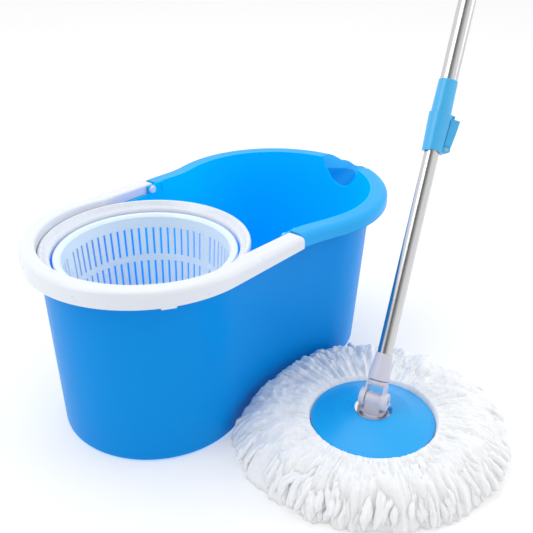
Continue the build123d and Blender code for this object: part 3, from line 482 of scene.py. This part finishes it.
def strand_tree():
    """Strands that leave the plate's edge, arch over and droop outwards to the floor."""
    tree, given = new_geometry_tree("strand_head", STRAND_INPUTS)
    line = add(tree, "GeometryNodeCurvePrimitiveLine")
    line = add(tree, "GeometryNodeResampleCurve", Curve=line, Count=given["Points"])
    points = add(tree, "GeometryNodePoints", Count=given["Strands"])
    strands = add(tree, "GeometryNodeInstanceOnPoints", Points=points, Instance=line)
    strands = add(tree, "GeometryNodeRealizeInstances", Geometry=strands)

    place = add(tree, "GeometryNodeInputIndex")
    per_curve = {"domain": "CURVE", "data_type": "INT"}
    number = add(tree, "GeometryNodeFieldOnDomain", settings=per_curve, Value=place)
    along = add(tree, "GeometryNodeSplineParameter", "Factor")

    def chance(key):
        """Random number from 0 to 1 for each strand."""
        node = tree.nodes.new("FunctionNodeRandomValue")
        node.data_type = "FLOAT"
        tree.links.new(number.socket, node.inputs["ID"])
        tree.links.new((given["Seed"] * SEEDS_PER_HEAD + key).socket, node.inputs["Seed"])
        value = node.outputs["Value"]
        return Field(tree, value if value.enabled else node.outputs[1])

    def swell(x, y, z, scale, detail=1.0):
        """Smooth noise from -1 to 1 at a point made of three fields."""
        at = add(tree, "ShaderNodeCombineXYZ", X=x, Y=y, Z=z)
        wave = add(tree, "ShaderNodeTexNoise", "Fac", Vector=at, Scale=scale, Detail=detail)
        return (wave - 0.5) * 2.0

    bearing = number * GOLDEN_TURN + (chance(1) - 0.5) * ROOT_JITTER
    layer = given["Top layer"].towards(given["Bottom layer"], (number + 0.5) / given["Strands"])
    side_x, side_y = bearing.cos(), bearing.sin()

    reach = given["Reach"] + (bearing - FAR_SIDE).cos() * given["Reach difference"]
    reach = reach * (as_field(layer, 1.0) - layer * LOWER_SHORTER)
    reach = reach * (chance(2) * REACH_SPREAD + REACH_LEAST)
    reach = reach + swell(side_x, side_y, layer, 2.6) * OUTLINE_WAVE
    root = given["Root radius"] - layer * ROOT_STEP
    radial = root.towards(reach, along)

    crest = given["Crest"] * (as_field(layer, CREST_SHARE) - layer * CREST_FALL)
    crest = crest + swell(side_x, side_y, layer + 4.0, 3.0) * CREST_WAVE
    tip = given["Thickness"] + (chance(3) ** 1.4) * (as_field(layer, 1.05) - layer) * TIP_LIFT
    arch = crest.towards(tip, along ** (chance(7) * ARCH_SPREAD + ARCH_LEAST))
    under_plate = given["Crest"] - given["Thickness"] * 2.4 - layer * 0.03
    height = under_plate.towards(arch, along.step(0.03, 0.2))

    grow = along.step(0.08, 0.9)
    sway = swell(side_x, side_y, along * 0.5 + layer, 3.4, 2.0) * SWAY
    sway = sway + (chance(4) - 0.5) * SWAY_JITTER
    turn = bearing + sway * grow
    wander = number * 3.7
    radial = radial + swell(wander, along * 2.2, layer, 1.6) * grow * WANDER
    turn = turn + swell(along * 2.6, wander, layer, 1.5) * grow * WANDER_TURN
    height = height + swell(layer, along * 2.6, wander, 1.7) * grow * WANDER
    flat_x, flat_y = turn.cos() * radial, turn.sin() * radial
    height = height + swell(flat_x, flat_y, layer * 0.01, 26.0, 2.0) * grow * CLUMP
    height = height.math("SMOOTH_MAX", given["Thickness"] * 0.9, FLOOR_EASE)

    x = turn.cos() * radial + HEAD_CENTRE.x
    y = turn.sin() * radial + HEAD_CENTRE.y
    y = y.math("SMOOTH_MIN", given["Wall"] - given["Thickness"], WALL_EASE)
    path = add(tree, "ShaderNodeCombineXYZ", X=x, Y=y, Z=height)
    strands = add(tree, "GeometryNodeSetPosition", Geometry=strands, Position=path)

    length = add(tree, "GeometryNodeSplineParameter", "Length")
    lumps = (length * BEADS_PER_METRE + chance(5) * 6.3).sin() * BEAD_DEPTH + 1.0
    left = as_field(along, 1.0) - along
    tip_share = left.math("MINIMUM", ROUND_END) / ROUND_END
    rounding = as_field(along, 1.0) - (as_field(along, 1.0) - tip_share) ** 2.0
    rounding = rounding.math("MAXIMUM", 0.05) ** 0.5
    plump = given["Thickness"] * (chance(6) * 0.3 + 0.85) * (along * 0.25 + 0.85)
    ring = add(tree, "GeometryNodeCurvePrimitiveCircle", Resolution=STRAND_SIDES, Radius=1.0)
    tubes = add(tree, "GeometryNodeCurveToMesh", Curve=strands, Profile_Curve=ring,
                Scale=plump * lumps * rounding, Fill_Caps=True)
    tubes = add(tree, "GeometryNodeSetShadeSmooth", Geometry=tubes, Shade_Smooth=True)
    finish_geometry_tree(tree, tubes, given["Material"])
    return tree


def fleece_mound(sizes, wall):
    """Closed ring of matted fibre that fills the space under the outer strands."""
    section = []
    for k in range(FLEECE_ROWS):
        t = k / (FLEECE_ROWS - 1)
        fall = (1.0 - t ** FLEECE_BEND) ** FLEECE_FULL
        section.append((t, sizes.crest * FLEECE_CREST * fall + FLEECE_LOW))
    verts = []
    for j in range(FLEECE_TURNS):
        turn = 2.0 * math.pi * j / FLEECE_TURNS
        way = Vector((math.cos(turn), math.sin(turn), 0.0))
        reach = (sizes.reach + sizes.reach_far * math.cos(turn - FAR_SIDE)) * FLEECE_REACH
        reach += FLEECE_WAVE * mathutils.noise.noise(way * 6.0 + Vector((0.0, 0.0, sizes.seed)))
        reach += FLEECE_WAVE * mathutils.noise.noise(way * 17.0)
        ring = [(FLEECE_ROOT, FLEECE_LOW), (FLEECE_ROOT, sizes.crest * 0.7)]
        ring.append((FLEECE_INNER, sizes.crest * 0.82))
        for t, height in section:
            radius = FLEECE_START + (reach - FLEECE_START) * t
            at = way * radius
            sway = mathutils.noise.noise(at * 14.0) * 1.6
            ridge = mathutils.noise.noise(way * 20.0 + Vector((0.0, 0.0, t * 2.0 + sway)))
            ridge += mathutils.noise.noise(way * 42.0 + Vector((0.0, 0.0, t * 4.0 + sway))) * 0.6
            soft = mathutils.noise.noise(at * 38.0) + mathutils.noise.noise(at * 105.0) * 0.45
            soft += mathutils.noise.noise(at * 210.0) * 0.3
            rise = ridge * RIDGE_HEIGHT + soft * SOFT_HEIGHT
            rise = rise * min(1.0, 8.0 * t + 0.2) * min(1.0, 3.0 * (1.05 - t))
            ring.append((radius, max(FLEECE_LOW, height + rise)))
        for radius, height in ring:
            spot = HEAD_CENTRE + way * radius
            spot.y = min(spot.y, wall)
            verts.append((spot.x, spot.y, height))
    rows = FLEECE_ROWS + 3
    faces = []
    for j in range(FLEECE_TURNS):
        here, there = j * rows, (j + 1) % FLEECE_TURNS * rows
        for k in range(rows):
            up = (k + 1) % rows
            faces.append((here + k, there + k, there + up, here + up))
    mesh = bpy.data.meshes.new("fleece")
    mesh.from_pydata(verts, [], faces)
    mesh.shade_smooth()
    return mesh


def grown(name, tree, body, slot, **values):
    """Runs a geometry tree with its inputs set, and returns the result as a plain mesh piece."""
    holder = bpy.data.objects.new(name + "_seed", bpy.data.meshes.new(name + "_seed"))
    bpy.context.scene.collection.objects.link(holder)
    modifier = holder.modifiers.new("grow", "NODES")
    modifier.node_group = tree
    items = tree.interface.items_tree
    sockets = {item.name: item.identifier for item in items if item.in_out == "INPUT"}
    for label, value in values.items():
        modifier[sockets[label.replace("_", " ")]] = value
    made = evaluated_mesh(holder, name)
    bpy.data.objects.remove(holder)
    piece = bpy.data.objects.new(name, made)
    bpy.context.scene.collection.objects.link(piece)
    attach(piece, body)
    return piece


def evaluated_mesh(holder, name):
    """Mesh of an object with its modifiers applied."""
    bpy.context.view_layer.update()
    graph = bpy.context.evaluated_depsgraph_get()
    made = bpy.data.meshes.new_from_object(holder.evaluated_get(graph), depsgraph=graph)
    made.name = name
    return made


# ---- stage -------------------------------------------------------------------------------------
# name, place, side, and share of the main light's power
LIGHTS = (
    ("key", (-1.7, 0.7, 2.2), 1.6, 1.0),
    ("fill", (1.6, -1.6, 1.3), 1.4, 0.35),
    ("top", (0.3, 0.6, 2.6), 2.0, 0.5),
)
LIGHT_AIM = (0.15, -0.1, 0.15)
# studio panel: the way it lies, its right-hand side, and where it starts and ends
PANEL_WAY = (-0.8572, -0.5150, 0.0)
PANEL_RIGHT = (0.5150, -0.8572, 0.0)
PANEL_FOOT, PANEL_TOP, PANEL_NEAR = (0.1, 0.22), (0.86, 0.97), (0.0, 0.2)
DARK_FROM, DARK_TO, GREY_TO = (-0.85, -0.4), (-0.1, 0.25), (0.3, 0.65)
DARK_DEPTH, GREY_DEPTH = 0.86, 0.45
LENS, SENSOR = 52.68, 36.0
CAMERA_PLACE = (-0.58710, -0.70334, 0.69522)
CAMERA_DOWN, CAMERA_TURN = 27.8175, 40.37


class SPINMOP_OT_stage(bpy.types.Operator):
    """Pale floor, soft white surround, lights and the camera."""

    bl_idname = "spinmop.stage"
    bl_label = "Stage"

    def execute(self, context):
        """Builds the stage."""
        sizes = context.scene.spinmop_stage
        build_floor(sizes)
        build_surround(sizes)
        for name, spot, size, share in LIGHTS:
            soft_light(name, Vector(spot), size, sizes.key_power * share)
        place_camera()
        return {"FINISHED"}


def build_floor(sizes):
    """Large level floor."""
    half = sizes.floor_size / 2
    corners = [(-half, -half, 0), (half, -half, 0), (half, half, 0), (-half, half, 0)]
    mesh = bpy.data.meshes.new("floor")
    mesh.from_pydata(corners, [], [(0, 1, 2, 3)])
    floor = bpy.data.objects.new("floor", mesh)
    bpy.context.scene.collection.objects.link(floor)
    material, tree, shader, where = new_material("floor_paint")
    tone = sizes.floor_tone
    cloud = noise(tree, where, 0.7, 2.0)
    feed(tree, shader.inputs["Base Color"], tint(tree, cloud, [tone * 0.985] * 3, [tone] * 3))
    shader.inputs["Roughness"].default_value = 0.9
    shader.inputs["Emission Color"].default_value = (1.0, 1.0, 1.0, 1.0)
    shader.inputs["Emission Strength"].default_value = sizes.floor_glow
    mesh.materials.append(material)


def build_surround(sizes):
    """White surround with a dark studio panel, which draws the streak along the steel."""
    world = bpy.data.worlds.new("surround")
    world.use_nodes = True
    tree = world.node_tree
    way = add(tree, "ShaderNodeTexCoord", "Generated")

    def facing(direction):
        """How far a direction of the surround points the given way, from -1 to 1."""
        node = tree.nodes.new("ShaderNodeVectorMath")
        node.operation = "DOT_PRODUCT"
        tree.links.new(way.socket, node.inputs[0])
        node.inputs[1].default_value = direction
        return Field(tree, node.outputs["Value"])

    across = facing(PANEL_RIGHT)
    up = facing((0.0, 0.0, 1.0))
    tall = up.step(*PANEL_FOOT) * (as_field(up, 1.0) - up.step(*PANEL_TOP))
    tall = tall * facing(PANEL_WAY).step(*PANEL_NEAR)
    dark = across.step(*DARK_FROM) * (as_field(up, 1.0) - across.step(*DARK_TO))
    grey = across.step(*DARK_TO) * (as_field(up, 1.0) - across.step(*GREY_TO))
    level = as_field(up, 1.0) - tall * (dark * DARK_DEPTH + grey * GREY_DEPTH)
    back = tree.nodes["Background"]
    feed(tree, back.inputs["Strength"], level * sizes.sky)
    back.inputs["Color"].default_value = (1.0, 1.0, 1.0, 1.0)
    bpy.context.scene.world = world
    bpy.context.scene.view_settings.view_transform = "Standard"


def soft_light(name, spot, size, power):
    """Square area light aimed at the middle of the set."""
    lamp = bpy.data.lights.new(name, "AREA")
    lamp.size = size
    lamp.energy = power
    obj = bpy.data.objects.new(name, lamp)
    obj.location = spot
    obj.rotation_euler = (Vector(LIGHT_AIM) - spot).to_track_quat("-Z", "Y").to_euler()
    bpy.context.scene.collection.objects.link(obj)


def place_camera():
    """Camera above the floor, off the wringing well's end on the side the mop stands."""
    data = bpy.data.cameras.new("camera")
    data.sensor_width = SENSOR
    data.lens = LENS
    camera = bpy.data.objects.new("camera", data)
    camera.location = CAMERA_PLACE
    turn = (math.radians(90.0 - CAMERA_DOWN), 0.0, math.radians(CAMERA_TURN - 90.0))
    camera.rotation_euler = Euler(turn)
    bpy.context.scene.collection.objects.link(camera)
    bpy.context.scene.camera = camera


# ---- pieces ------------------------------------------------------------------------------------
class SPINMOP_OT_bucket(bpy.types.Operator):
    """Bucket and handle pins."""

    bl_idname = "spinmop.bucket"
    bl_label = "Bucket"

    def execute(self, context):
        """Dresses the bucket."""
        colours = context.scene.spinmop_colours
        dress(bucket_plastic(colours), "bucket")
        dress(moulded_plastic("pin_plastic", colours.white, 0.3, 0.6, 0.2), "handle_pivot_pins")
        return {"FINISHED"}


class SPINMOP_OT_white_parts(bpy.types.Operator):
    """Handle, splash collar, wringing basket and hub."""

    bl_idname = "spinmop.white_parts"
    bl_label = "Handle, collar and basket"

    def execute(self, context):
        """Dresses the white mouldings."""
        white = context.scene.spinmop_colours.white
        dress(moulded_plastic("handle_plastic", white, 0.3, 0.6, 0.2, 0.08), "carry_handle")
        dress(moulded_plastic("collar_plastic", white, 0.26, 0.6, 0.2, 0.08), "basket_collar")
        basket = context.scene.spinmop_colours.basket
        slotted = moulded_plastic("basket_plastic", basket, 0.32, 0.8, 0.15, 0.1)
        dress(slotted, "spin_basket", "basket_hub")
        return {"FINISHED"}


class SPINMOP_OT_spindle(bpy.types.Operator):
    """Axle, bearing, bush and nut under the basket."""

    bl_idname = "spinmop.spindle"
    bl_label = "Spindle"

    def execute(self, context):
        """Dresses the turning hardware."""
        steel = turned_metal("bearing_steel", (0.55, 0.55, 0.56), 0.22)
        dress(steel, "basket_spindle", "bearing_inner_ring", "bearing_outer_ring", "bearing_balls")
        dress(turned_metal("zinc_steel", (0.58, 0.58, 0.55), 0.36), "spindle_nut", "neck_rivet",
              "base_screws", "hinge_pin", "lock_pin")
        dress(turned_metal("bush_bronze", (0.62, 0.40, 0.16), 0.34), "spindle_bush")
        return {"FINISHED"}


class SPINMOP_OT_strand_head(bpy.types.Operator):
    """Microfibre strands round the plate."""

    bl_idname = "spinmop.strand_head"
    bl_label = "Strand head"

    def execute(self, context):
        """Lays the matted ring and grows two groups of strands over it."""
        sizes = context.scene.spinmop_strands
        white = context.scene.spinmop_colours.strands
        fibre = microfibre("microfibre", white, 0.0)
        # painted shade: the matted ring takes the strands' colour made 5% darker
        matted = microfibre("matted_microfibre", shade(white, 0.95), 0.9)
        tree = strand_tree()
        fleece = bpy.data.objects.new("fleece", fleece_mound(sizes, STRAND_WALL_Y))
        fleece.data.materials.append(matted)
        context.scene.collection.objects.link(fleece)
        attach(fleece, "mop_head")
        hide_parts("mop_strands")
        for name, top, bottom, share in STRAND_GROUPS:
            piece = grown(name, tree, "mop_head", "microfibre",
                          Strands=int(sizes.count * share), Points=sizes.points,
                          Seed=sizes.seed + int(40 * top), Top_layer=top, Bottom_layer=bottom,
                          Thickness=sizes.thickness, Reach=sizes.reach,
                          Reach_difference=sizes.reach_far, Crest=sizes.crest,
                          Root_radius=PLATE_EDGE_R, Wall=STRAND_WALL_Y, Material=fibre)
            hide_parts("mop_strands")
        return {"FINISHED"}


class SPINMOP_OT_plate_and_joint(bpy.types.Operator):
    """Plate, strand ring, bright dish and the tilting joint."""

    bl_idname = "spinmop.plate_and_joint"
    bl_label = "Plate and joint"

    def execute(self, context):
        """Dresses the plate and the joint."""
        colours = context.scene.spinmop_colours
        dress(moulded_plastic("plate_plastic", colours.plate, 0.3, 0.7, 0.1, gloss=0.3), "mop_plate")
        dress(moulded_plastic("ring_plastic", colours.white, 0.4), "strand_ring")
        dress(turned_metal("dish_chrome", (0.82, 0.82, 0.83), 0.12), "joint_cup")
        joint = moulded_plastic("joint_plastic", colours.joint, 0.34, 0.8, 0.15, 0.05)
        dress(joint, "joint_base", "neck_fork", "neck_sleeve")
        return {"FINISHED"}


class SPINMOP_OT_pole(bpy.types.Operator):
    """Steel tubes, twisted bar and the mouldings inside them."""

    bl_idname = "spinmop.pole"
    bl_label = "Pole"

    def execute(self, context):
        """Dresses the pole."""
        steel = context.scene.spinmop_colours.steel
        turn = POLE_FRAME.transposed().to_euler()
        dress(drawn_steel("tube_steel", steel, 0.24, turn), "inner_tube", "outer_tube")
        dress(drawn_steel("bar_steel", shade(steel, 0.9), 0.34, turn, 2.0), "screw_rod")
        dress(moulded_plastic("nylon", (0.6, 0.6, 0.56), 0.45), "drive_nut", "guide_bush", "rod_plug")
        return {"FINISHED"}


class SPINMOP_OT_clamp_and_grip(bpy.types.Operator):
    """Height clamp with its lever, ferrule, grip and end cap."""

    bl_idname = "spinmop.clamp_and_grip"
    bl_label = "Clamp and grip"

    def execute(self, context):
        """Dresses the clamp and the grip."""
        colours = context.scene.spinmop_colours
        clamp = moulded_plastic("clamp_plastic", colours.clamp, 0.32, 0.8, 0.15)
        dress(clamp, "lock_housing", "collar_ferrule", "lock_lever")
        dress(moulded_plastic("grip_plastic", colours.bucket, 0.5, 2.5, 0.0), "hand_grip", "hang_cap")
        return {"FINISHED"}


class SPINMOP_PT_panel(bpy.types.Panel):
    """Lists the pieces of the spin mop set."""

    bl_label = "Spin mop"
    bl_idname = "SPINMOP_PT_panel"
    bl_space_type = "VIEW_3D"
    bl_region_type = "UI"
    bl_category = "Spin mop"

    def draw(self, context):
        """Draws one button for each operator."""
        for operator in OPERATORS:
            self.layout.operator(operator.bl_idname)


GROUPS = {"spinmop_colours": SPINMOP_PG_colours, "spinmop_strands": SPINMOP_PG_strands,
          "spinmop_stage": SPINMOP_PG_stage}
OPERATORS = (SPINMOP_OT_stage, SPINMOP_OT_bucket, SPINMOP_OT_white_parts, SPINMOP_OT_spindle,
             SPINMOP_OT_strand_head, SPINMOP_OT_plate_and_joint, SPINMOP_OT_pole, SPINMOP_OT_clamp_and_grip)
CLASSES = (*GROUPS.values(), *OPERATORS, SPINMOP_PT_panel)


def register():
    """Registers the classes and the scene's settings."""
    for made in CLASSES:
        bpy.utils.register_class(made)
    for name, group in GROUPS.items():
        setattr(bpy.types.Scene, name, PointerProperty(type=group))


def unregister():
    """Takes the settings and classes away again."""
    for name in GROUPS:
        delattr(bpy.types.Scene, name)
    for made in reversed(CLASSES):
        bpy.utils.unregister_class(made)


def main():
    """Builds every piece."""
    register()
    for operator in OPERATORS:
        group, name = operator.bl_idname.split(".")
        getattr(getattr(bpy.ops, group), name)()


if __name__ == "__main__":
    main()
